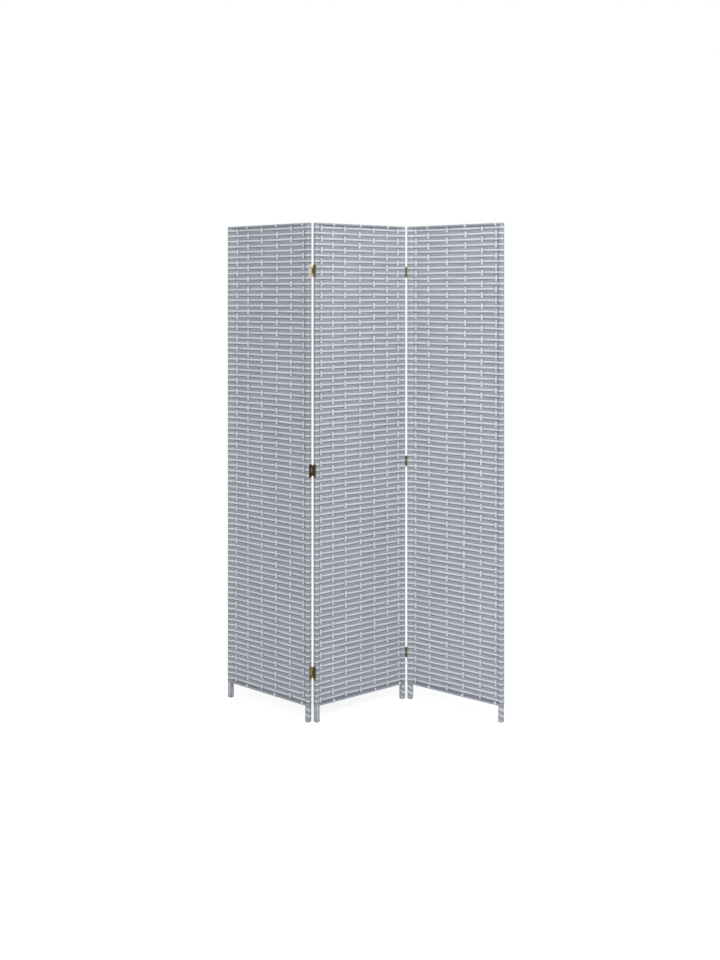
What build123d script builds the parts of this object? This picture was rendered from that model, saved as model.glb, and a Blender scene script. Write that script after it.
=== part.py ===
from build123d import *
import math
import os

# Folding screen of three woven panels. All sizes are in millimetres and all angles in degrees.
# +Z is up, the front of the screen looks along -Y, and the origin is on the floor under the middle
# of the screen as it stands in its zigzag.

# Overall sizes
screen_height = 1800.0
panel_width = 400.0
leg_height = 58.0

# Frame of a panel: two square stiles joined by a slim rail at the top and one at the bottom
stile_size = 12.5
rail_height = 5.5
nail_diameter = 2.0
nail_head_diameter = 3.6
nail_head_height = 1.0
nail_length = 38.0
nail_clearance = 0.02
nail_to_stake = 0.6

# Upright stakes, seated in mortises of the rails, at shares of the panel's width from its left edge
stake_width = 8.0
stake_thickness = 5.0
stake_fit = 0.1
stake_seat_depth = 4.5
stake_places = {
    "panel_1": (0.102, 0.245, 0.420, 0.602, 0.773, 0.925),
    "panel_2": (0.062, 0.193, 0.328, 0.493, 0.648, 0.800, 0.928),
    "panel_3": (0.078, 0.230, 0.418, 0.605, 0.777, 0.928),
}

# Woven courses: each is a flat bundle of cords that goes round both stiles and in and out of the stakes
course_count = 85
cord_thickness = 2.4
course_gap = 0.3
bend_room = 1.0
slip_panel = "panel_2"
slip_course = 73
slip_stake = 3

# Cord binding over the rails and round the legs
binding_thickness = 1.5
leg_wrap_thickness = 2.0
leg_wrap_rise = 1.5

# Double action hinges between the panels: leaf, middle link and leaf, turning on two upright pins
bottom_hinge_height = 177.0
middle_hinge_lift = 6.0
top_hinge_drop = 174.0
panel_gap = 6.0
pin_proud = 1.5
leaf_height = 48.0
leaf_thickness = 1.4
leaf_edge_margin = 0.8
link_thickness = 1.4
barrel_height = 37.0
barrel_diameter = 5.2
pin_diameter = 2.6
pin_clearance = 0.05
pin_head_diameter = 4.4
pin_head_height = 0.9
end_knuckle_height = 10.0
knuckle_gap = 0.3
knuckle_clearance = 0.4
screw_spacing = 25.0
screw_diameter = 2.6
screw_head_diameter = 5.0
screw_head_height = 1.1
screw_length = 13.0
screw_clearance = 0.1

# Pose: how far each panel is turned from straight across the view
panel_yaws = {"panel_1": -36.5, "panel_2": 34.0, "panel_3": -34.0}

# Sizes that follow from the ones above
half_width = panel_width / 2
nail_depth = stake_thickness / 2 + stake_fit + nail_to_stake + nail_diameter / 2
stile_outer = half_width - cord_thickness
stile_inner = stile_outer - stile_size
edge_depth = stile_size / 2 + cord_thickness
pin_depth = edge_depth + pin_proud
pin_reach = half_width + panel_gap / 2
rim_height = rail_height + binding_thickness
weave_bottom = leg_height + rim_height
weave_top = screen_height - rim_height
course_pitch = (weave_top - weave_bottom) / course_count
hinge_heights = {
    "bottom": bottom_hinge_height,
    "middle": screen_height / 2 + middle_hinge_lift,
    "top": screen_height - top_hinge_drop,
}
frame_top = screen_height - binding_thickness
frame_bottom = leg_height + binding_thickness


def box_between(low, high):
    """A box from its lowest corner to its highest one."""
    size = [b - a for a, b in zip(low, high)]
    return Pos(*low) * Box(*size, align=(Align.MIN, Align.MIN, Align.MIN))


def rod_along_x(start, end, radius, depth, height):
    """A round rod from x = start to x = end."""
    middle = Pos((start + end) / 2, depth, height)
    return middle * Rot(0, 90, 0) * Cylinder(radius, abs(end - start))


def stake_positions(panel):
    """Where the middles of a panel's stakes stand along its width."""
    return [share * panel_width - half_width for share in stake_places[panel]]


def band_outline(route, thickness):
    """The closed outline of a band of even thickness that follows a route of straight runs."""
    sides = ([], [])
    for i, (x, y) in enumerate(route):
        normals = []
        for a, b in ((i - 1, i), (i, i + 1)):
            if 0 <= a and b < len(route):
                dx, dy = route[b][0] - route[a][0], route[b][1] - route[a][1]
                run = math.hypot(dx, dy)
                normals.append((-dy / run, dx / run))
        nx, ny = (sum(n[k] for n in normals) for k in (0, 1))
        mitre = thickness / 2 * len(normals) / (nx * nx + ny * ny)
        for side, sign in zip(sides, (1, -1)):
            side.append((x + sign * mitre * nx, y + sign * mitre * ny))
    return sides[0] + sides[1][::-1]


def stake_in_front(panel, course, stake):
    """Whether a stake shows in front of a course, both counted from 0, courses from the top."""
    slipped = panel == slip_panel and course >= slip_course and stake >= slip_stake
    return (course + stake + slipped) % 2 == 0


def course_route(panel, course):
    """The centre line of a course, seen from above, from the back of one stile to the other's."""
    edge = half_width - cord_thickness / 2
    face = (stile_size + cord_thickness) / 2
    field = (stake_thickness + cord_thickness) / 2
    turn = stile_inner - bend_room
    route = [(-stile_inner, face), (-edge, face), (-edge, -face), (-turn, -face)]
    for stake, x in enumerate(stake_positions(panel)):
        y = field if stake_in_front(panel, course, stake) else -field
        reach = stake_width / 2 + bend_room
        route += [(x - reach, y), (x + reach, y)]
    return route + [(turn, -face), (edge, -face), (edge, face), (stile_inner, face)]


def course_solid(panel, course):
    """One woven course, standing on z = 0."""
    outline = band_outline(course_route(panel, course), cord_thickness)
    return extrude(make_face(Polyline(*outline, close=True)), course_pitch - course_gap)


def screw_heights(height):
    """The heights of the two screws of the hinge leaf whose middle is at the given height."""
    return (height - screw_spacing / 2, height + screw_spacing / 2)


def screw_hole(side, height):
    """The hole that a hinge screw needs through the woven edge and the stile."""
    start = half_width + leaf_thickness
    end = start - screw_length - screw_clearance
    radius = screw_diameter / 2 + screw_clearance
    return rod_along_x(side * end, side * start, radius, 0, height)


def hinged_sides(panel):
    """The sides of a panel that carry hinges: -1 is its left side and 1 its right one."""
    return {"panel_1": (1,), "panel_2": (-1, 1), "panel_3": (-1,)}[panel]


def weave(panel):
    """All the courses of a panel, with holes for the hinge screws in those that the screws cross."""
    patterns = {}
    courses = []
    for course in range(course_count):
        key = tuple(stake_in_front(panel, course, k) for k in range(len(stake_places[panel])))
        if key not in patterns:
            patterns[key] = course_solid(panel, course)
        low = weave_top - (course + 1) * course_pitch
        solid = Pos(0, 0, low + course_gap / 2) * patterns[key]
        for side in hinged_sides(panel):
            for middle in hinge_heights.values():
                for z in screw_heights(middle):
                    if low - screw_diameter < z < low + course_pitch + screw_diameter:
                        solid = solid - screw_hole(side, z)
        courses += solid.solids()
    return Compound(children=courses)


def nail_height(top):
    """The height of the nails that hold the top rail, or the bottom one."""
    return frame_top - rail_height / 2 if top else frame_bottom + rail_height / 2


def nails(side, top, clearance=0.0):
    """The two nails of a rail's end, or the holes for them. They are driven through the stile into the
    rail, one in front of the row of stakes and one behind it."""
    height = nail_height(top)
    end = stile_outer - nail_length - clearance
    head_low = stile_outer - nail_head_height - clearance
    head_radius = nail_head_diameter / 2 + clearance
    pair = []
    for y in (-nail_depth, nail_depth):
        shank = rod_along_x(side * end, side * stile_outer, nail_diameter / 2 + clearance, y, height)
        pair.append(shank + rod_along_x(side * head_low, side * stile_outer, head_radius, y, height))
    return pair


def stile(panel, side):
    """An upright of the frame, from the floor to under the top binding, drilled for its fasteners."""
    low, high = sorted((side * stile_inner, side * stile_outer))
    half = stile_size / 2
    post = box_between((low, -half, 0), (high, half, frame_top))
    for top in (False, True):
        for hole in nails(side, top, nail_clearance):
            post -= hole
    if side in hinged_sides(panel):
        for height in hinge_heights.values():
            for z in screw_heights(height):
                post -= screw_hole(side, z)
    return post


def rail(panel, top):
    """The top or bottom rail, with a mortise for each stake and a hole for each nail."""
    half = stile_size / 2
    low = frame_top - rail_height if top else frame_bottom
    bar = box_between((-stile_inner, -half, low), (stile_inner, half, low + rail_height))
    mortise_low = low if top else low + rail_height - stake_seat_depth
    across = stake_width / 2 + stake_fit
    deep = stake_thickness / 2 + stake_fit
    for x in stake_positions(panel):
        corner = (x - across, -deep, mortise_low)
        bar -= box_between(corner, (x + across, deep, mortise_low + stake_seat_depth))
    for side in (-1, 1):
        for hole in nails(side, top, nail_clearance):
            bar -= hole
    return bar


def stakes(panel):
    """The upright stakes, which end in the mortises of the rails."""
    low = frame_bottom + rail_height - stake_seat_depth
    high = frame_top - rail_height + stake_seat_depth
    solids = []
    for x in stake_positions(panel):
        corner = (x - stake_width / 2, -stake_thickness / 2, low)
        solids.append(box_between(corner, (x + stake_width / 2, stake_thickness / 2, high)))
    return Compound(children=solids)


def top_binding():
    """The cord cap over the top rail and the tops of the stiles."""
    half = stile_size / 2
    outer = half + binding_thickness
    cap = box_between((-half_width, -outer, weave_top), (half_width, outer, screen_height))
    return cap - box_between((-stile_outer, -half, weave_top), (stile_outer, half, frame_top))


def bottom_binding():
    """The cord channel under the bottom rail, between the stiles."""
    half = stile_size / 2
    outer = half + binding_thickness
    reach = stile_inner - leg_wrap_thickness
    channel = box_between((-reach, -outer, leg_height), (reach, outer, weave_bottom))
    return channel - box_between((-reach, -half, frame_bottom), (reach, half, weave_bottom))


def leg_wrap(side):
    """The cord sleeve round the leg, from just above the floor to the lowest course."""
    middle = side * (stile_inner + stile_size / 2)
    outer = stile_size / 2 + leg_wrap_thickness
    inner = stile_size / 2
    sleeve = box_between((middle - outer, -outer, leg_wrap_rise), (middle + outer, outer, weave_bottom))
    sleeve -= box_between((middle - inner, -inner, 0), (middle + inner, inner, weave_bottom))
    rail_reach = (-stile_inner, -inner, frame_bottom)
    return sleeve - box_between(rail_reach, (stile_inner, inner, weave_bottom))


def knuckle_spans():
    """The low and high ends of the leaf's lower knuckle, the link's knuckle and the leaf's upper one."""
    half = barrel_height / 2
    split = half - end_knuckle_height
    return ((-half, -split - knuckle_gap), (-split, split), (split + knuckle_gap, half))


def upright(x, y, low, high, radius):
    """An upright round rod."""
    return Pos(x, y, (low + high) / 2) * Cylinder(radius, high - low)


def leaf(side):
    """A hinge leaf in the hinge's own frame: pins at y = -pin_depth (front) and y = pin_depth (back),
    the middle of the gap at x = 0. The leaf on the -1 side turns on the back pin, and the other one
    on the front pin."""
    outer = side * panel_gap / 2
    inner = outer - side * leaf_thickness
    pin_y = -side * pin_depth
    clear = panel_gap / 2 + knuckle_clearance
    far_end = -pin_y - side * clear
    plate_end = -side * (edge_depth - leaf_edge_margin)
    low_x, high_x = sorted((outer, inner))
    low_y, high_y = sorted((far_end, plate_end))
    half = leaf_height / 2
    plate = box_between((low_x, low_y, -half), (high_x, high_y, half))
    plate = fillet(plate.edges().filter_by(Axis.X), leaf_edge_margin)
    spans = knuckle_spans()
    for low, high in (spans[0], spans[2]):
        neck_low, neck_high = sorted((plate_end + side * clear, pin_y))
        plate += box_between((low_x, neck_low, low), (high_x, neck_high, high))
        plate += upright(0, pin_y, low, high, barrel_diameter / 2)
    low, high = spans[1]
    window = upright(0, pin_y, low - knuckle_gap, high + knuckle_gap, clear)
    plate -= window
    plate -= upright(0, pin_y, -half, half, pin_diameter / 2 + pin_clearance)
    for z in screw_heights(0):
        plate -= screw(side, z, screw_clearance)
    return plate


def screw(side, z, clearance=0.0):
    """A countersunk hinge screw in the hinge's frame, or the hole for it in the leaf."""
    seat = side * (panel_gap / 2 - leaf_thickness)
    radius = screw_diameter / 2 + clearance
    head_radius = screw_head_diameter / 2 + clearance
    shank = rod_along_x(seat, seat + side * screw_length, radius, 0, z)
    head = Pos(seat + side * screw_head_height / 2, 0, z) * Rot(0, side * 90, 0)
    return shank + head * Cone(head_radius, radius, screw_head_height)


def link():
    """The middle plate of a hinge, with one knuckle on each pin."""
    half = barrel_height / 2
    thick = link_thickness / 2
    low, high = knuckle_spans()[1]
    reach = pin_depth - panel_gap / 2 - knuckle_clearance
    plate = box_between((-thick, -reach, -half), (thick, reach, half))
    plate += box_between((-thick, -pin_depth, low), (thick, pin_depth, high))
    for y in (-pin_depth, pin_depth):
        plate += upright(0, y, low, high, barrel_diameter / 2)
        plate -= upright(0, y, -half, half, pin_diameter / 2 + pin_clearance)
    return plate


def hinge_pins():
    """The two pins of a hinge, each with a head at both ends of the barrel."""
    half = barrel_height / 2
    pins = []
    for y in (-pin_depth, pin_depth):
        pin = upright(0, y, -half - pin_head_height, half + pin_head_height, pin_diameter / 2)
        for low in (-half - pin_head_height, half):
            pin += upright(0, y, low, low + pin_head_height, pin_head_diameter / 2)
        pins.append(pin)
    return pins


def turned(point, angle):
    """A point of the plan turned about the origin."""
    x, y = point
    c, s = math.cos(math.radians(angle)), math.sin(math.radians(angle))
    return (c * x - s * y, s * x + c * y)


def placed(origin, angle):
    """The location at a point of the plan, turned about the upright axis."""
    return Location((origin[0], origin[1], 0), (0, 0, angle))


def hung_panel(shared, corner, angle):
    """The origin of a panel whose given corner of the plan lies on a shared point."""
    x, y = turned(corner, angle)
    return (shared[0] - x, shared[1] - y)


def plan_places():
    """Where each panel stands, how the links lie and where the four pin lines are.

    Panel 2 is placed first, each other panel is hung on its pin line, and the whole plan is then
    moved so that its outline is centred on the origin."""
    yaw = panel_yaws["panel_2"]
    pins = {
        "left_front": turned((-pin_reach, -pin_depth), yaw),
        "left_back": turned((-pin_reach, pin_depth), yaw),
        "right_front": turned((pin_reach, -pin_depth), yaw),
        "right_back": turned((pin_reach, pin_depth), yaw),
    }
    origin_1 = hung_panel(pins["left_back"], (pin_reach, pin_depth), panel_yaws["panel_1"])
    origin_3 = hung_panel(pins["right_front"], (-pin_reach, -pin_depth), panel_yaws["panel_3"])
    origins = {"panel_1": origin_1, "panel_2": (0.0, 0.0), "panel_3": origin_3}
    links = {"left": turned((-pin_reach, 0), yaw), "right": turned((pin_reach, 0), yaw)}
    corners = []
    for panel, origin in origins.items():
        for x in (-half_width, half_width):
            for y in (-edge_depth, edge_depth):
                dx, dy = turned((x, y), panel_yaws[panel])
                corners.append((origin[0] + dx, origin[1] + dy))
    for x, y in pins.values():
        for reach in (-barrel_diameter / 2, barrel_diameter / 2):
            corners.append((x + reach, y + reach))
    middle = [(min(c[k] for c in corners) + max(c[k] for c in corners)) / 2 for k in (0, 1)]
    return [
        {name: (x - middle[0], y - middle[1]) for name, (x, y) in points.items()}
        for points in (origins, links, pins)
    ]


def moved(shape, location):
    """A copy of a solid, or of a group of solids, at a location."""
    solids = [location * solid for solid in shape.solids()]
    return solids[0] if len(solids) == 1 else Compound(children=solids)


def panel_nodes(panel, location):
    """The pieces of one panel by node name."""
    nodes = {"weave": weave(panel), "stakes": stakes(panel)}
    nodes["top_rail"] = rail(panel, True)
    nodes["bottom_rail"] = rail(panel, False)
    nodes["top_binding"] = top_binding()
    nodes["bottom_binding"] = bottom_binding()
    for name, side in (("left", -1), ("right", 1)):
        nodes[f"{name}_stile"] = stile(panel, side)
        nodes[f"{name}_leg_wrap"] = leg_wrap(side)
    rail_nails = []
    for side in (-1, 1):
        for top in (False, True):
            rail_nails += nails(side, top)
    nodes["rail_nails"] = Compound(children=rail_nails)
    return {f"{panel}_{name}": moved(shape, location) for name, shape in nodes.items()}


def hinge_nodes(joint, outer_location, inner_location, link_location):
    """The pieces of the three hinges of one joint by node name.

    The locations take the hinge's own frame to its place on the outer panel, on the middle panel
    and at the link."""
    outer_side = -1 if joint == "left" else 1
    outer_panel = "panel_1" if joint == "left" else "panel_3"
    nodes = {}
    pins = []
    outer_screws = []
    inner_screws = []
    for level, height in hinge_heights.items():
        lift = Pos(0, 0, height)
        name = f"{joint}_{level}_hinge"
        nodes[f"{name}_outer_leaf"] = outer_location * lift * leaf(outer_side)
        nodes[f"{name}_inner_leaf"] = inner_location * lift * leaf(-outer_side)
        nodes[f"{name}_link"] = link_location * lift * link()
        pins += [link_location * lift * pin for pin in hinge_pins()]
        for z in screw_heights(0):
            outer_screws.append(outer_location * lift * screw(outer_side, z))
            inner_screws.append(inner_location * lift * screw(-outer_side, z))
    nodes[f"{joint}_hinge_pins"] = Compound(children=pins)
    nodes[f"{outer_panel}_hinge_screws"] = Compound(children=outer_screws)
    nodes[f"panel_2_{joint}_hinge_screws"] = Compound(children=inner_screws)
    return nodes


def all_nodes():
    """Every piece of the screen, in its place, by node name."""
    origins, links, pins = plan_places()
    locations = {name: placed(origins[name], panel_yaws[name]) for name in origins}
    nodes = {}
    for panel, location in locations.items():
        nodes.update(panel_nodes(panel, location))
    middle_yaw = panel_yaws["panel_2"]
    for joint, outer_panel, side in (("left", "panel_1", 1), ("right", "panel_3", -1)):
        outer = locations[outer_panel] * Pos(side * pin_reach, 0, 0)
        inner = locations["panel_2"] * Pos(-side * pin_reach, 0, 0)
        nodes.update(hinge_nodes(joint, outer, inner, placed(links[joint], middle_yaw)))
    return nodes, pins


def main():
    nodes, pins = all_nodes()
    os.makedirs("parts", exist_ok=True)
    for name, shape in nodes.items():
        shape.label = name
        export_step(shape, f"parts/{name}.step")
    for name, (x, y) in pins.items():
        print(f"pin line {name}: x {x:.4f} mm, y {y:.4f} mm")


main()
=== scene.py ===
"""The looks of a folding screen of three woven cord panels, built round its fixed frame."""

import itertools
import math

import bpy
from mathutils import Matrix, Vector, noise


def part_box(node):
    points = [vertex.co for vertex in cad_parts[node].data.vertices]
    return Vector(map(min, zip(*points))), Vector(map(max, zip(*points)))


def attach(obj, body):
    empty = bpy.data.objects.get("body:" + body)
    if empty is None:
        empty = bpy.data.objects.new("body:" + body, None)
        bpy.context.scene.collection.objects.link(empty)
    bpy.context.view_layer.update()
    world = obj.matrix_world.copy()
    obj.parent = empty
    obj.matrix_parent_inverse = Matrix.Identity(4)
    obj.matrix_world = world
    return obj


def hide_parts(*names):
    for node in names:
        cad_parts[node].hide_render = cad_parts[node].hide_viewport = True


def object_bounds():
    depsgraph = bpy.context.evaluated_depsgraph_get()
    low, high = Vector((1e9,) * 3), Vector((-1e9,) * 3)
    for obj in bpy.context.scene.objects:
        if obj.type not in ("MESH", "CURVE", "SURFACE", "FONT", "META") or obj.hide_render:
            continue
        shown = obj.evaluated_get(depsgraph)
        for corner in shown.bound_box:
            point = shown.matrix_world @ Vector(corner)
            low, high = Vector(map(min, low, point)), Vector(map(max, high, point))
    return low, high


bl_info = {
    "name": "Woven Folding Screen",
    "version": (1, 0, 0),
    "blender": (4, 5, 0),
    "location": "3D View > Sidebar > Folding Screen",
    "description": "Weaves the cords of a three panel folding screen and lights it in a studio",
    "category": "Add Mesh",
}

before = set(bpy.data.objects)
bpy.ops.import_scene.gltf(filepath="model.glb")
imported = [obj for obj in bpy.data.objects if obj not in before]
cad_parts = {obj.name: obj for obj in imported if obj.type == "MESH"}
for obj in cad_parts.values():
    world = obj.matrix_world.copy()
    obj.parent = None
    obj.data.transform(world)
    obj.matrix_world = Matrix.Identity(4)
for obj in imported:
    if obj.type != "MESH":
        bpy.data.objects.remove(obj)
cad_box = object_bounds()

PANELS = ("panel_1", "panel_2", "panel_3")

# Where the stakes of each panel stand at the top and at the bottom, from its left edge, in metres
STAKES = {
    "panel_1": (
        (0.044, 0.037), (0.099, 0.098), (0.168, 0.168), (0.244, 0.237), (0.312, 0.306), (0.370, 0.369),
    ),
    "panel_2": (
        (0.028, 0.023), (0.077, 0.077), (0.129, 0.134), (0.194, 0.200), (0.258, 0.261), (0.318, 0.321),
        (0.369, 0.373),
    ),
    "panel_3": (
        (0.034, 0.032), (0.088, 0.095), (0.168, 0.168), (0.247, 0.237), (0.315, 0.307), (0.372, 0.370),
    ),
}
# From this row down, the stakes from this one on show a row early
SLIPS = {"panel_2": (73, 3)}
# Legs whose cords run down them; the others are wound round
LENGTHWISE = (("panel_1", "left"), ("panel_2", "left"))
# How near the corner of a stile a cord starts to turn round it, in metres
CORNER = 0.0018
# Steps between two points of a cord's route
CORD_STEPS = 2


class WeaveSettings(bpy.types.PropertyGroup):
    rows: bpy.props.IntProperty(
        name="Rows", description="Woven rows from the top rim to the bottom rim", default=85, min=10, max=200
    )
    cord_thickness: bpy.props.FloatProperty(
        name="Cord thickness", description="Thickness of the woven bundle", default=0.0024, unit="LENGTH"
    )
    pale_height: bpy.props.FloatProperty(
        name="Pale cord height", description="Height of the pale middle cord of a row", default=0.0076,
        unit="LENGTH",
    )
    pale_thickness: bpy.props.FloatProperty(
        name="Pale cord thickness", description="Thickness of the pale middle cord", default=0.0044,
        unit="LENGTH",
    )
    grey_height: bpy.props.FloatProperty(
        name="Grey cord height", description="Height of the grey cords above and below", default=0.0068,
        unit="LENGTH",
    )
    grey_thickness: bpy.props.FloatProperty(
        name="Grey cord thickness", description="Thickness of the grey cords", default=0.0024, unit="LENGTH"
    )
    pale_lift: bpy.props.FloatProperty(
        name="Pale cord lift", description="How far the pale cord rides above its row's middle",
        default=0.0005, unit="LENGTH",
    )
    tuck: bpy.props.FloatProperty(
        name="Tuck", description="How far the lower grey cord is pushed up behind the pale one",
        default=0.0008, unit="LENGTH",
    )
    stake_push: bpy.props.FloatProperty(
        name="Stake push", description="How far a stake bends forward or back at each row",
        default=0.0018, unit="LENGTH",
    )
    # Painted light: each panel's cords are made lighter or darker, standing in for the different light
    # falling on each panel.
    panel_light_tones: bpy.props.FloatVectorProperty(
        name="Batch tones", description="Tone of the cord used on each panel", default=(0.96, 1.01, 1.08),
        size=3,
    )
    waviness: bpy.props.FloatProperty(
        name="Waviness", description="How far a cord strays up and down from its row", default=0.0007,
        unit="LENGTH",
    )
    pale: bpy.props.FloatVectorProperty(
        name="Pale cord", description="Colour of the pale cords", default=(0.585, 0.612, 0.662), size=3,
        subtype="COLOR", min=0.0, max=1.0,
    )
    grey: bpy.props.FloatVectorProperty(
        name="Grey cord", description="Colour of the grey cords", default=(0.322, 0.341, 0.382), size=3,
        subtype="COLOR", min=0.0, max=1.0,
    )


class FrameSettings(bpy.types.PropertyGroup):
    stile_size: bpy.props.FloatProperty(
        name="Stile", description="Width and depth of the square stiles", default=0.0125, unit="LENGTH"
    )
    panel_width: bpy.props.FloatProperty(
        name="Panel width", description="Width of a panel over its cords", default=0.400, unit="LENGTH"
    )
    rim: bpy.props.FloatProperty(
        name="Rim height", description="Height of the bound rim at the top and bottom", default=0.007,
        unit="LENGTH",
    )
    half_depth: bpy.props.FloatProperty(
        name="Half depth", description="Farthest a cord stands from the middle, so panels fold flat",
        default=0.0099, unit="LENGTH",
    )
    leg: bpy.props.FloatProperty(
        name="Leg height", description="Height of the legs under the weave", default=0.058, unit="LENGTH"
    )
    stake_width: bpy.props.FloatProperty(
        name="Stake width", description="Width of a stake", default=0.0086, unit="LENGTH"
    )
    stake_thickness: bpy.props.FloatProperty(
        name="Stake thickness", description="Depth of a stake", default=0.005, unit="LENGTH"
    )
    leg_wrap: bpy.props.FloatProperty(
        name="Leg wrap", description="Thickness of the cord wrapped round the legs", default=0.0020,
        unit="LENGTH",
    )
    bronze: bpy.props.FloatVectorProperty(
        name="Bronze", description="Colour of the hinges where they are worn bright",
        default=(0.42, 0.35, 0.17), size=3, subtype="COLOR", min=0.0, max=1.0,
    )
    wood: bpy.props.FloatVectorProperty(
        name="Wood", description="Colour of the stained frame", default=(0.24, 0.25, 0.27), size=3,
        subtype="COLOR", min=0.0, max=1.0,
    )


class StageSettings(bpy.types.PropertyGroup):
    camera_place: bpy.props.FloatVectorProperty(
        name="Camera", description="Where the camera stands", default=(-0.0073, -3.8015, 1.541), size=3,
        subtype="XYZ", unit="LENGTH",
    )
    lens: bpy.props.FloatProperty(
        name="Lens", description="Focal length on a 36 mm sensor, in millimetres", default=38.36
    )
    shift: bpy.props.FloatProperty(
        name="Shift", description="Upright shift of the level camera's picture", default=-0.1932
    )
    sky: bpy.props.FloatProperty(
        name="Room light", description="Strength of the even light of the white room", default=0.62
    )
    key: bpy.props.FloatProperty(
        name="Key light", description="Power of the large lamp above and to the right", default=75.0,
        unit="POWER",
    )


# Where a panel stands

def panel_place(panel):
    """The matrix that takes a panel's own frame (x across it, y through it, z up) to its place."""
    left, right = (
        sum(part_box(f"{panel}_{side}_stile"), Vector()) / 2 for side in ("left", "right")
    )
    middle = (left + right) / 2
    yaw = math.atan2(right.y - left.y, right.x - left.x)
    return Matrix.Translation((middle.x, middle.y, 0)) @ Matrix.Rotation(yaw, 4, "Z")


def stake_shows(panel, row, stake):
    """Whether a stake shows in front of a row, both counted from 0, rows from the top."""
    slip_row, slip_stake = SLIPS.get(panel, (math.inf, 0))
    slipped = row >= slip_row and stake >= slip_stake
    return (row + stake + slipped) % 2 == 0


def weave_heights(scene):
    """The bottom and top of the woven rows, and the height of one row."""
    size = scene.screen_frame
    top = cad_box[1].z - size.rim
    bottom = size.leg + size.rim
    return bottom, top, (top - bottom) / scene.screen_weave.rows


def stake_x(panel, stake, z, scene):
    """Where the middle of a stake is across its panel at a height."""
    bottom, top, _ = weave_heights(scene)
    share = (z - bottom) / (top - bottom)
    high, low = STAKES[panel][stake]
    return low + (high - low) * share - scene.screen_frame.panel_width / 2


# Modelling helpers

def clear_selection():
    for obj in bpy.context.selected_objects:
        obj.select_set(False)


def select_only(obj):
    clear_selection()
    obj.select_set(True)
    bpy.context.view_layer.objects.active = obj


def cord_section(name, thickness, height, roundness, sides=8):
    """The outline that a cord is drawn out with: an ellipse at a roundness of 1, and squarer below."""
    clear_selection()
    bpy.ops.curve.primitive_nurbs_path_add(location=(0, 0, 0))
    section = bpy.context.object
    section.name = name
    section.data.splines.clear()
    section.data.dimensions = "2D"
    outline = section.data.splines.new("POLY")
    outline.points.add(sides - 1)
    for side, point in enumerate(outline.points):
        turn = math.tau * (side + 0.5) / sides
        across, along = math.cos(turn), math.sin(turn)
        point.co = (
            math.copysign(abs(across) ** roundness, across) * thickness / 2,
            math.copysign(abs(along) ** roundness, along) * height / 2,
            0,
            1,
        )
    outline.use_cyclic_u = True
    return section


def cords(name, routes, section, upright=False):
    """A mesh of smooth cords, one along each route of points, with the section's outline: its
    thickness lies through the panel, and its height up the panel, or across it on upright cords."""
    clear_selection()
    bpy.ops.curve.primitive_nurbs_path_add(location=(0, 0, 0))
    obj = bpy.context.object
    obj.name = name
    curve = obj.data
    curve.splines.clear()
    curve.dimensions = "3D"
    curve.twist_mode = "Z_UP"
    for route in routes:
        spline = curve.splines.new("NURBS")
        spline.points.add(len(route) - 1)
        for point, (x, y, z) in zip(spline.points, route):
            point.co = (y, z, x, 1) if upright else (x, y, z, 1)
        spline.order_u = 3
        spline.use_endpoint_u = True
        spline.resolution_u = CORD_STEPS
    curve.bevel_mode = "OBJECT"
    curve.bevel_object = section
    curve.use_fill_caps = True
    select_only(obj)
    bpy.ops.object.convert(target="MESH")
    obj = bpy.context.object
    bpy.ops.object.mode_set(mode="EDIT")
    bpy.ops.mesh.select_all(action="SELECT")
    bpy.ops.mesh.remove_doubles(threshold=0.00001)
    bpy.ops.mesh.normals_make_consistent(inside=False)
    bpy.ops.object.mode_set(mode="OBJECT")
    bpy.ops.object.shade_smooth()
    if upright:
        obj.matrix_world = Matrix(((0, 0, 1, 0), (1, 0, 0, 0), (0, 1, 0, 0), (0, 0, 0, 1)))
        bpy.ops.object.transform_apply(location=True, rotation=True, scale=True)
    return obj


def settle(obj, panel, material, node):
    """Puts a piece that was made in its panel's frame where the panel stands, and hangs it there."""
    obj.matrix_world = panel_place(panel)
    select_only(obj)
    bpy.ops.object.transform_apply(location=True, rotation=True, scale=True)
    obj.data.materials.clear()
    obj.data.materials.append(material)
    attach(obj, panel)
    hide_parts(node)


def drop(shape):
    """Removes a construction shape."""
    bpy.data.objects.remove(shape)


# Shader expressions

class Wire:
    """A socket of a material's nodes that takes part in Python expressions."""

    def __init__(self, finish, socket):
        self.finish = finish
        self.socket = socket

    def _math(self, operation, first, second):
        return self.finish.add("ShaderNodeMath", {0: first, 1: second}, operation=operation)

    def __add__(self, other):
        return self._math("ADD", self, other)

    __radd__ = __add__

    def __sub__(self, other):
        return self._math("SUBTRACT", self, other)

    def __rsub__(self, other):
        return self._math("SUBTRACT", other, self)

    def __mul__(self, other):
        return self._math("MULTIPLY", self, other)

    def __truediv__(self, other):
        return self._math("DIVIDE", self, other)


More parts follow.
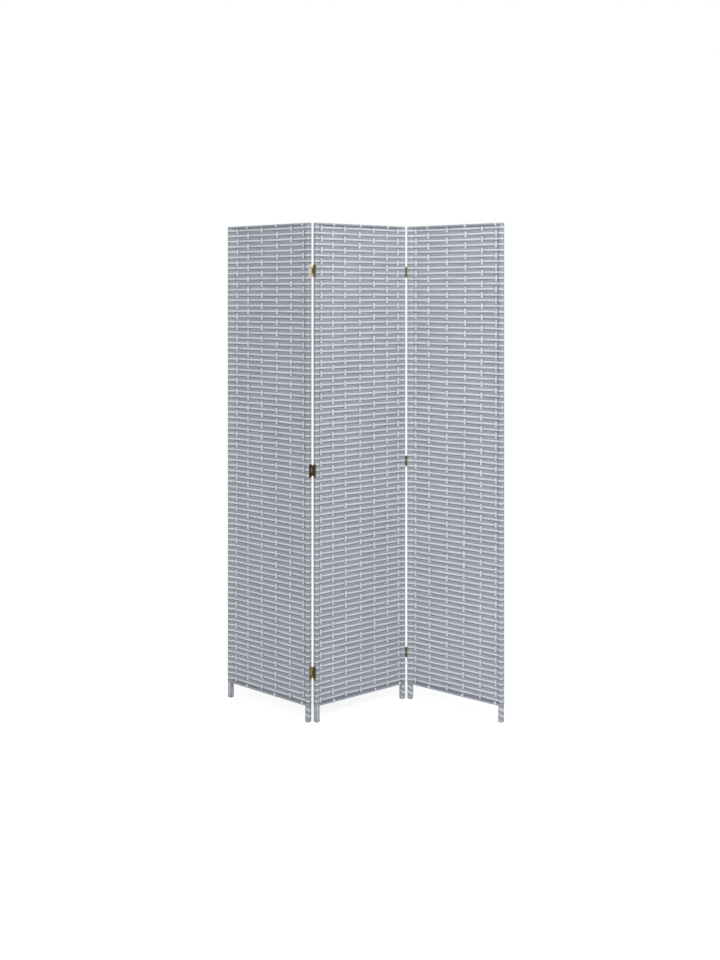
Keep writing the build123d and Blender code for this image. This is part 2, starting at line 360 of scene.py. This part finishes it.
class Finish:
    """A material, or the room's light, whose nodes are built up from expressions."""

    def __init__(self, name, room=None):
        self.owner = room or bpy.data.materials.new(name)
        self.owner.use_nodes = True
        self.tree = self.owner.node_tree
        self.tree.nodes.clear()

    def add(self, kind, inputs=None, output=0, stops=None, **settings):
        """A node of one kind: its settings first, then a ramp's stops, then its sockets."""
        node = self.tree.nodes.new(kind)
        for key, value in settings.items():
            setattr(node, key, value)
        if stops:
            ramp = node.color_ramp
            while len(ramp.elements) < len(stops):
                ramp.elements.new(1.0)
            for element, (at, value) in zip(ramp.elements, stops):
                element.position = at
                element.color = (value, value, value, 1)
        for key, value in (inputs or {}).items():
            socket = node.inputs[key]
            if isinstance(value, Wire):
                self.tree.links.new(value.socket, socket)
            else:
                socket.default_value = value
        return Wire(self, node.outputs[output])

    def place(self, matrix=None):
        """Object coordinates, turned into a panel's own frame where its matrix is given."""
        here = self.add("ShaderNodeTexCoord", output="Object")
        if matrix is None:
            return here
        back = matrix.inverted()
        turn = {"Vector": here, "Location": back.to_translation(), "Rotation": back.to_euler()}
        return self.add("ShaderNodeMapping", turn)

    def stretched(self, place, scale, turn=(0, 0, 0)):
        """Coordinates scaled along each axis, and turned first."""
        if any(turn):
            place = self.add("ShaderNodeMapping", {"Vector": place, "Rotation": turn})
        return self.add("ShaderNodeMapping", {"Vector": place, "Scale": scale})

    def noise(self, place, scale, detail, roughness=0.5):
        return self.add(
            "ShaderNodeTexNoise",
            {"Vector": place, "Scale": scale, "Detail": detail, "Roughness": roughness},
        )

    def mix(self, factor, first, second):
        """A colour between two."""
        pair = {0: factor, 6: self.colour(first), 7: self.colour(second)}
        return self.add("ShaderNodeMix", pair, output=2, data_type="RGBA")

    @staticmethod
    def colour(value):
        return value if isinstance(value, Wire) else (*value[:3], 1.0)

    def ramp(self, value, *stops):
        return self.add("ShaderNodeValToRGB", {"Fac": value}, stops=stops)

    def surface(self, **inputs):
        """The Principled surface, with named sockets, and the finished material."""
        values = {key.replace("_", " "): value for key, value in inputs.items()}
        return self.finished(self.add("ShaderNodeBsdfPrincipled", values))

    def finished(self, shader, output="ShaderNodeOutputMaterial"):
        node = self.tree.nodes.new(output)
        self.tree.links.new(shader.socket, node.inputs["Surface"])
        return self.owner


def cord_finish(name, panel, colour, along="x", rows=None):
    """Matte twisted paper cord: slanting twist lines, fine fibres and a tone that drifts from cord
    to cord. Given the rows' top and height, it gets a painted shadow: a darker band under each pale cord."""
    finish = Finish(name)
    here = finish.place(panel_place(panel))
    stretch = (9, 9, 130) if along == "x" else (130, 130, 9)
    drift = finish.noise(finish.stretched(here, stretch), 1.0, 2.0)
    cloud = finish.noise(here, 7.0, 3.0)
    slant = (0, math.radians(24), 0) if along == "x" else (0, math.radians(66), 0)
    turned = finish.stretched(here, (1, 1, 1), slant)
    twist = finish.add(
        "ShaderNodeTexWave",
        {"Vector": turned, "Scale": 180.0, "Distortion": 1.5, "Detail": 2.0, "Detail Scale": 1.5},
        output="Fac",
        wave_type="BANDS",
        bands_direction="X",
    )
    fibre = finish.noise(finish.stretched(here, (300, 300, 1400), slant), 1.0, 4.0, 0.7)
    shade = drift * 0.5 + cloud * 0.2 + twist * 0.12 + fibre * 0.18
    contrast = 0.16
    low = [c * (1 - contrast) for c in colour]
    high = [min(c * (1 + contrast), 1.0) for c in colour]
    base = finish.mix(finish.ramp(shade, (0.25, 0.0), (0.75, 1.0)), low, high)
    # Painted shadow: the band just under each pale cord is darkened, standing in for the shade that the
    # proud pale cord casts.
    if rows:
        top, pitch = rows
        z = finish.add("ShaderNodeSeparateXYZ", {"Vector": here}, output="Z")
        down = finish.add("ShaderNodeMath", {0: (top - z) / pitch}, operation="FRACT")
        painted_shadow_band = finish.ramp(down, (0.73, 1.0), (0.84, 0.0))
        base = finish.mix(painted_shadow_band * 0.75, base, [c * 0.42 for c in colour])
    height = twist * 0.7 + fibre * 0.3
    bump = finish.add("ShaderNodeBump", {"Strength": 0.35, "Distance": 0.0006, "Height": height})
    rough = 0.72 + fibre * 0.16
    return finish.surface(Base_Color=base, Roughness=rough, Normal=bump, Specular_IOR_Level=0.3)


def wood_finish(name, colour):
    """Stained straight-grained wood."""
    finish = Finish(name)
    here = finish.place()
    grain = finish.noise(finish.stretched(here, (160, 160, 6)), 1.0, 5.0, 0.6)
    pores = finish.noise(finish.stretched(here, (900, 900, 30)), 1.0, 2.0)
    shade = grain * 0.75 + pores * 0.25
    low = [c * 0.65 for c in colour]
    high = [min(c * 1.35, 1.0) for c in colour]
    base = finish.mix(finish.ramp(shade, (0.3, 0.0), (0.7, 1.0)), low, high)
    bump = finish.add("ShaderNodeBump", {"Strength": 0.2, "Distance": 0.0004, "Height": shade})
    return finish.surface(Base_Color=base, Roughness=0.6 + grain * 0.2, Normal=bump)


def bronze_finish(name, colour, wear, metal=0.9, patina=0.3):
    """Aged bronze: dark patina in patches, with the bright metal worn through."""
    finish = Finish(name)
    here = finish.place()
    patches = finish.noise(here, 90.0, 4.0, 0.6)
    specks = finish.noise(here, 700.0, 3.0, 0.6)
    wear_and_sheen = finish.ramp(patches * 0.7 + specks * 0.3, (0.5 - 0.12 * wear, 0.0), (0.5 + 0.14 * wear, 1.0))
    dark = [c * patina for c in colour]
    base = finish.mix(wear_and_sheen, dark, colour)
    rough = 0.42 - wear_and_sheen * 0.12 + specks * 0.14
    bump = finish.add("ShaderNodeBump", {"Strength": 0.15, "Distance": 0.0002, "Height": specks})
    return finish.surface(Base_Color=base, Metallic=metal - wear_and_sheen * 0.05, Roughness=rough, Normal=bump)


def steel_finish(name):
    """Drawn steel wire."""
    finish = Finish(name)
    lines = finish.noise(finish.stretched(finish.place(), (60, 60, 900)), 1.0, 3.0)
    base = finish.mix(lines, (0.35, 0.35, 0.36), (0.55, 0.55, 0.56))
    return finish.surface(Base_Color=base, Metallic=1.0, Roughness=0.3 + lines * 0.2)


# The woven rows

def cord_route(panel, row, z, thickness, scene):
    """The middle line of a cord of a row, in its panel's frame: from a tucked end behind the left
    stile, round the stile, in and out of the stakes, and round the right stile to its other end."""
    size, weave = scene.screen_frame, scene.screen_weave
    bulge = 0.0008
    clearance = 0.0002
    side_room = 0.0006
    curl = 0.0012
    edge = size.panel_width / 2 - thickness / 2 + bulge
    inner = size.panel_width / 2 - weave.cord_thickness - size.stile_size
    face = min((size.stile_size + thickness) / 2, size.half_depth - thickness / 2)
    field = size.stake_thickness / 2 - weave.stake_push + clearance + thickness / 2
    turn = [
        (inner - curl, 0.0015),
        (inner - curl, face - 0.0010),
        (inner + curl, face),
        (edge - CORNER, face),
        (edge, face),
        (edge, face - CORNER),
        (edge, CORNER - face),
        (edge, -face),
        (edge - CORNER, -face),
        (inner + 0.001, -face),
    ]
    flat = [(-x, y) for x, y in turn]
    reach = size.stake_width / 2 + side_room
    resting = -0.5 * field
    for stake in range(len(STAKES[panel])):
        x = stake_x(panel, stake, z, scene)
        behind = stake_shows(panel, row, stake)
        y = field if behind else -field
        # a cord dives steeply behind a stake, and rises slowly over one
        slope = 0.0042 if behind else 0.0085
        dive = reach + slope
        flat += [(x - dive, resting), (x - reach, y), (x + reach, y), (x + dive, resting)]
    flat += [(x, y) for x, y in reversed(turn)]
    seed = 10.0 * PANELS.index(panel)
    route = []
    for x, y in flat:
        wide = noise.noise(Vector((x * 11, z * 5, seed)))
        local = noise.noise(Vector((x * 25, z * 160, seed + 3)))
        route.append((x, y, z + weave.waviness * (1.4 * wide + 0.6 * local)))
    return route


def row_middle(row, scene):
    """The height of the middle of a row, counted from 0 at the top."""
    _, top, pitch = weave_heights(scene)
    return top - (row + 0.5) * pitch


def panel_tone(colour, panel, scene):
    """A cord colour made lighter or darker for one panel: painted light that stands in for how the light
    falls on that panel.
    """
    tone = scene.screen_weave.panel_light_tones[PANELS.index(panel)]
    return [min(c * tone, 1.0) for c in colour]


class SCREEN_OT_weave(bpy.types.Operator):
    """Weaves the rows of each panel: a pale cord between two grey ones"""

    bl_idname = "screen.weave"
    bl_label = "Weave the panels"

    def execute(self, context):
        scene = context.scene
        weave = scene.screen_weave
        _, top, pitch = weave_heights(scene)
        step = (weave.pale_height + weave.grey_height) / 2
        kinds = (
            ("upper", step, weave.grey_thickness, weave.grey_height, weave.grey),
            ("pale", weave.pale_lift, weave.pale_thickness, weave.pale_height, weave.pale),
            (
                "lower", weave.tuck - step, weave.grey_thickness, weave.grey_height + weave.tuck,
                weave.grey,
            ),
        )
        for kind, lift, thickness, height, colour in kinds:
            roundness = 0.8 if kind == "pale" else 0.65
            section = cord_section("cord_outline", thickness, height, roundness)
            for panel in PANELS:
                routes = [
                    cord_route(panel, row, row_middle(row, scene) + lift, thickness, scene)
                    for row in range(weave.rows)
                ]
                obj = cords(f"{panel}_{kind}_cords", routes, section)
                # The lower grey cords carry a painted shadow under the pale cord above them.
                material = cord_finish(
                    f"{kind}_cord_of_{panel}", panel, panel_tone(colour, panel, scene),
                    rows=(top, pitch) if kind == "lower" else None,
                )
                settle(obj, panel, material, f"{panel}_weave")
            drop(section)
        return {"FINISHED"}


class SCREEN_OT_stakes(bpy.types.Operator):
    """Stands the flat stakes in each panel, each pushed forward where the cords pass behind it"""

    bl_idname = "screen.stakes"
    bl_label = "Stand the stakes"

    def execute(self, context):
        scene = context.scene
        size, weave = scene.screen_frame, scene.screen_weave
        section = cord_section("stake_outline", size.stake_thickness, size.stake_width, 0.6, sides=10)
        bottom, top, pitch = weave_heights(scene)
        seat = 0.0035
        for panel in PANELS:
            routes = []
            for stake in range(len(STAKES[panel])):
                route = [(stake_x(panel, stake, top, scene), 0, top + seat)]
                for row in range(weave.rows):
                    middle = row_middle(row, scene)
                    y = -weave.stake_push if stake_shows(panel, row, stake) else weave.stake_push
                    for z in (middle + pitch / 4, middle - pitch / 4):
                        sway = 0.0005 * noise.noise(Vector((stake, z * 9, 0)))
                        route.append((stake_x(panel, stake, z, scene) + sway, y, z))
                route.append((stake_x(panel, stake, bottom, scene), 0, bottom - seat))
                routes.append(route)
            obj = cords(f"{panel}_stake_bars", routes, section, upright=True)
            material = cord_finish(
                f"stake_of_{panel}", panel, panel_tone(weave.pale, panel, scene), along="z"
            )
            settle(obj, panel, material, f"{panel}_stakes")
        drop(section)
        return {"FINISHED"}


class SCREEN_OT_rims(bpy.types.Operator):
    """Binds the top and bottom rims with a grey cord, and loops the stakes' cords over them"""

    bl_idname = "screen.rims"
    bl_label = "Bind the rims"

    def execute(self, context):
        scene = context.scene
        bottom, top, _ = weave_heights(scene)
        last = scene.screen_weave.rows - 1
        for rim, start, way, row in (("top", top, 1, 0), ("bottom", bottom, -1, last)):
            for panel in PANELS:
                self.bind(panel, rim, start, way, scene)
                self.loop(panel, rim, start, way, row, scene)
        return {"FINISHED"}

    def bind(self, panel, rim, start, way, scene):
        """A flat grey cord that goes once round the rim."""
        size, weave = scene.screen_frame, scene.screen_weave
        slack = 0.0002
        bulge = 0.0003
        flat = weave.grey_thickness
        face = (size.stile_size + flat) / 2
        edge = size.panel_width / 2 - flat / 2 + bulge
        z = start + way * (size.rim - slack) / 2
        turn = [
            (edge - CORNER, face), (edge, face), (edge, face - CORNER),
            (edge, CORNER - face), (edge, -face), (edge - CORNER, -face),
        ]
        outline = [(0.0, face), *turn, *((-x, y) for x, y in reversed(turn)), (0.0, face)]
        section = cord_section("rim_outline", flat, size.rim - slack, 0.6)
        band = cords(f"{panel}_{rim}_rim_cord", [[(x, y, z) for x, y in outline]], section)
        drop(section)
        grey = cord_finish(f"rim_cord_of_{panel}_{rim}", panel, panel_tone(weave.grey, panel, scene))
        settle(band, panel, grey, f"{panel}_{rim}_binding")

    def loop(self, panel, rim, start, way, row, scene):
        """Pale cords looped over the rim, one at each stake that the row next to the rim hides."""
        size, weave = scene.screen_frame, scene.screen_weave
        thin = 0.0014
        bend = 0.0008
        gap = 0.0006
        flat = weave.grey_thickness
        out = (size.stile_size + flat) / 2 + flat / 2 + gap
        inside = start - way * 0.0035
        rise = start + way * (size.rim + 0.0004)
        side = [
            (0.0030, inside),
            (out - bend, inside),
            (out, start + way * 0.002),
            (out, rise - way * 0.0010),
            (out - bend, rise),
        ]
        loops = []
        for stake in range(len(STAKES[panel])):
            if not stake_shows(panel, row, stake):
                x = stake_x(panel, stake, start, scene)
                front = [(x, -y, z) for y, z in side]
                back = [(x, y, z) for y, z in reversed(side)]
                loops.append([*front, (x, 0.0, rise), *back])
        section = cord_section("loop_outline", thin, size.stake_width, 0.6)
        ends = cords(f"{panel}_{rim}_loops", loops, section, upright=True)
        drop(section)
        pale = cord_finish(
            f"loops_of_{panel}_{rim}", panel, panel_tone(weave.pale, panel, scene), along="z"
        )
        settle(ends, panel, pale, f"{panel}_{rim}_binding")


class SCREEN_OT_legs(bpy.types.Operator):
    """Winds cord round the legs, or lays it down them"""

    bl_idname = "screen.legs"
    bl_label = "Wrap the legs"

    def execute(self, context):
        scene = context.scene
        for panel in PANELS:
            for side, way in (("left", -1), ("right", 1)):
                if (panel, side) in LENGTHWISE:
                    self.lay(panel, side, way, scene)
                else:
                    self.wind(panel, side, way, scene)
        return {"FINISHED"}

    def core(self, way, scene):
        """The middle of a leg across its panel, and how far from there its cords' middles lie."""
        size, weave = scene.screen_frame, scene.screen_weave
        middle = way * (size.panel_width / 2 - weave.cord_thickness - size.stile_size / 2)
        return middle, (size.stile_size + size.leg_wrap) / 2

    def wind(self, panel, side, way, scene):
        """Three cords, grey, pale and grey, wound side by side round the square leg."""
        size, weave = scene.screen_frame, scene.screen_weave
        middle, half = self.core(way, scene)
        wide = 0.0072
        off_floor = 0.0006
        inset = 0.0004
        spread = 1.03
        pitch = 3 * wide
        near = 0.0020
        square = (
            (half - near, -half), (half, -half), (half, near - half), (half, half - near),
            (half, half), (half - near, half), (near - half, half), (-half, half),
            (-half, half - near), (-half, near - half), (-half, -half), (near - half, -half),
        )
        top, low = size.leg - wide / 2, wide / 2 + off_floor
        for start, (kind, colour) in enumerate(
            (("upper", weave.grey), ("pale", weave.pale), ("lower", weave.grey))
        ):
            route = []
            for step in itertools.count():
                z = top + pitch - pitch * step / len(square) - wide * start
                if z < low - wide / 2:
                    break
                if z < top + wide / 2:
                    x, y = square[step % len(square)]
                    route.append((middle + x, y, min(max(z, low + inset), top - inset)))
            height = wide * (1.3 if kind == "pale" else 1.0)
            section = cord_section("wrap_outline", size.leg_wrap, height, 0.75)
            cord = cords(f"{panel}_{side}_leg_{kind}_wrap", [route], section)
            drop(section)
            self.hang(cord, panel, side, kind, panel_tone(colour, panel, scene), "x")
        rings = []
        for z in (top, low):
            ring = [(middle + x * spread, y * spread, z) for x, y in square]
            rings.append([*ring, ring[0], ring[1]])
        section = cord_section("ring_outline", size.leg_wrap, wide, 0.75)
        ends = cords(f"{panel}_{side}_leg_end_rings", rings, section)
        drop(section)
        self.hang(ends, panel, side, "rings", panel_tone(weave.grey, panel, scene), "x")

    def lay(self, panel, side, way, scene):
        """Cords laid side by side down the four faces of the leg."""
        size, weave = scene.screen_frame, scene.screen_weave
        middle, half = self.core(way, scene)
        wide = 0.0052
        heights = (size.leg + 0.001, size.leg * 0.7, size.leg * 0.35, 0.0008)
        for kind, colour, places in (
            ("pale", weave.pale, (0.0,)), ("grey", weave.grey, (-wide, wide))
        ):
            for turned, section_size in ((False, (size.leg_wrap, wide)), (True, (wide, size.leg_wrap))):
                routes = []
                for place in places:
                    for out in (-half, half):
                        x, y = (out, place) if turned else (place, out)
                        sways = [0.0002 * math.sin(900 * z + 300 * place) for z in heights]
                        routes.append([(middle + x + sway, y, z) for sway, z in zip(sways, heights)])
                section = cord_section("lay_outline", *section_size, 0.75)
                name = f"{panel}_{side}_leg_{kind}_{'sides' if turned else 'faces'}"
                cord = cords(name, routes, section, upright=True)
                drop(section)
                self.hang(cord, panel, side, f"{kind}_laid", panel_tone(colour, panel, scene), "z")

    def hang(self, cord, panel, side, kind, colour, along):
        material = cord_finish(f"{kind}_of_{panel}_{side}_leg", panel, colour, along=along)
        settle(cord, panel, material, f"{panel}_{side}_leg_wrap")


class SCREEN_OT_frame_finish(bpy.types.Operator):
    """Stains the hidden frames and ages the hinges, with a painted highlight on two outer hinge leaves"""

    bl_idname = "screen.frame_finish"
    bl_label = "Finish the frames and hinges"

    def execute(self, context):
        size = context.scene.screen_frame
        wood = wood_finish("stained_wood", size.wood)
        # Painted highlights: the top and bottom outer leaves of the left hinges are paler, lit copies of the
        # aged bronze that stand in for lamp reflections; they are also more worn.
        wear_and_sheen = {
            "left_top_hinge_outer_leaf": bronze_finish(
                "worn_brass_painted_highlight", (0.97, 0.92, 0.70), 1.6, 0.25, 0.72
            ),
            "left_bottom_hinge_outer_leaf": bronze_finish(
                "worn_bronze_painted_highlight", [c * 1.4 for c in size.bronze], 1.2, 0.6, 0.4
            ),
        }
        bronze = bronze_finish("aged_bronze", [c * 0.55 for c in size.bronze], 0.9)
        dark = bronze_finish("dark_bronze", [c * 0.3 for c in size.bronze], 0.6)
        steel = steel_finish("nail_steel")
        cord = {p: cord_finish(f"binding_of_{p}", p, context.scene.screen_weave.grey) for p in PANELS}
        for name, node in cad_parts.items():
            if "binding" in name or "leg_wrap" in name or name.endswith(("weave", "stakes")):
                material = next(cord[panel] for panel in PANELS if name.startswith(panel))
            elif "nails" in name:
                material = steel
            elif "screws" in name:
                material = dark
            elif "hinge" in name:
                material = wear_and_sheen.get(name, bronze)
            else:
                material = wood
            node.data.materials.clear()
            node.data.materials.append(material)
        return {"FINISHED"}


class SCREEN_OT_stage(bpy.types.Operator):
    """Sets the white floor, the soft lamps and the camera"""

    bl_idname = "screen.stage"
    bl_label = "Set the stage"

    def execute(self, context):
        scene = context.scene
        stage = scene.screen_stage
        clear_selection()
        bpy.ops.mesh.primitive_plane_add(size=40, location=(0, 6, 0))
        floor = context.object
        floor.name = "floor"
        floor.data.materials.append(floor_finish())

        scene.world = bpy.data.worlds.new("white_room")
        light_the_room(scene.world, stage.sky)

        lamps = (
            ("key_lamp", (1.5, -2.6, 3.4), 1.8, stage.key),
            ("fill_lamp", (-2.6, -2.2, 2.2), 2.0, stage.key * 0.35),
        )
        target = Vector((0, 0, 0.95))
        for name, place, width, power in lamps:
            bpy.ops.object.light_add(type="AREA", location=place)
            lamp = context.object
            lamp.name = name
            lamp.data.shape = "DISK"
            lamp.data.size = width
            lamp.data.energy = power
            aim = target - Vector(place)
            lamp.rotation_euler = aim.to_track_quat("-Z", "Y").to_euler()

        bpy.ops.object.camera_add(location=stage.camera_place, rotation=(math.pi / 2, 0, 0))
        camera = context.object
        camera.data.lens = stage.lens
        camera.data.shift_y = stage.shift
        camera.data.clip_end = 100
        scene.camera = camera
        scene.view_settings.view_transform = "Standard"
        return {"FINISHED"}


def light_the_room(world, strength):
    """Even light from all round, which the camera, metal and glass see as white."""
    room = Finish("white_room", world)
    rays = [
        room.add("ShaderNodeLightPath", output=f"Is {kind}")
        for kind in ("Camera Ray", "Glossy Ray", "Transmission Ray")
    ]
    seen = room.add("ShaderNodeMath", {0: rays[0], 1: rays[1]}, operation="MAXIMUM")
    seen = room.add("ShaderNodeMath", {0: seen, 1: rays[2]}, operation="MAXIMUM")
    even = room.add("ShaderNodeBackground", {"Color": (1, 1, 1, 1), "Strength": strength})
    white = room.add("ShaderNodeBackground", {"Color": (1, 1, 1, 1), "Strength": 1.0})
    room.finished(room.add("ShaderNodeMixShader", {0: seen, 1: even, 2: white}), "ShaderNodeOutputWorld")


def floor_finish():
    """A white sweep that keeps the object's soft shadow and is otherwise white to the camera."""
    finish = Finish("white_floor")
    grain = finish.noise(finish.place(), 4.0, 3.0)
    lit = finish.add("ShaderNodeBsdfDiffuse", {"Color": finish.mix(grain, (0.84,) * 3, (0.86,) * 3)})
    seen = finish.add("ShaderNodeBsdfDiffuse", {"Color": (0.45, 0.45, 0.45, 1)})
    glow = finish.add("ShaderNodeEmission", {"Color": (1, 1, 1, 1), "Strength": 0.73})
    both = finish.add("ShaderNodeAddShader", {0: seen, 1: glow})
    path = finish.add("ShaderNodeLightPath", output="Is Camera Ray")
    return finish.finished(finish.add("ShaderNodeMixShader", {0: path, 1: lit, 2: both}))


class SCREEN_PT_sidebar(bpy.types.Panel):
    """Lists the screen's sizes, colours and steps"""

    bl_label = "Folding screen"
    bl_idname = "SCREEN_PT_sidebar"
    bl_space_type = "VIEW_3D"
    bl_region_type = "UI"
    bl_category = "Folding Screen"

    def draw(self, context):
        for title, group in (
            ("Weave", context.scene.screen_weave),
            ("Frame", context.scene.screen_frame),
            ("Stage", context.scene.screen_stage),
        ):
            box = self.layout.box()
            box.label(text=title)
            for name in group.__annotations__:
                box.prop(group, name)
        for step in STEPS:
            self.layout.operator(step.bl_idname)


STEPS = (
    SCREEN_OT_frame_finish, SCREEN_OT_weave, SCREEN_OT_stakes, SCREEN_OT_rims, SCREEN_OT_legs,
    SCREEN_OT_stage,
)
GROUPS = (WeaveSettings, FrameSettings, StageSettings)


def register():
    for cls in (*GROUPS, *STEPS, SCREEN_PT_sidebar):
        bpy.utils.register_class(cls)
    bpy.types.Scene.screen_weave = bpy.props.PointerProperty(type=WeaveSettings)
    bpy.types.Scene.screen_frame = bpy.props.PointerProperty(type=FrameSettings)
    bpy.types.Scene.screen_stage = bpy.props.PointerProperty(type=StageSettings)


def unregister():
    for name in ("screen_weave", "screen_frame", "screen_stage"):
        delattr(bpy.types.Scene, name)
    for cls in reversed((*GROUPS, *STEPS, SCREEN_PT_sidebar)):
        bpy.utils.unregister_class(cls)


def main():
    register()
    bpy.ops.screen.frame_finish()
    bpy.ops.screen.weave()
    bpy.ops.screen.stakes()
    bpy.ops.screen.rims()
    bpy.ops.screen.legs()
    bpy.ops.screen.stage()


if __name__ == "__main__":
    main()
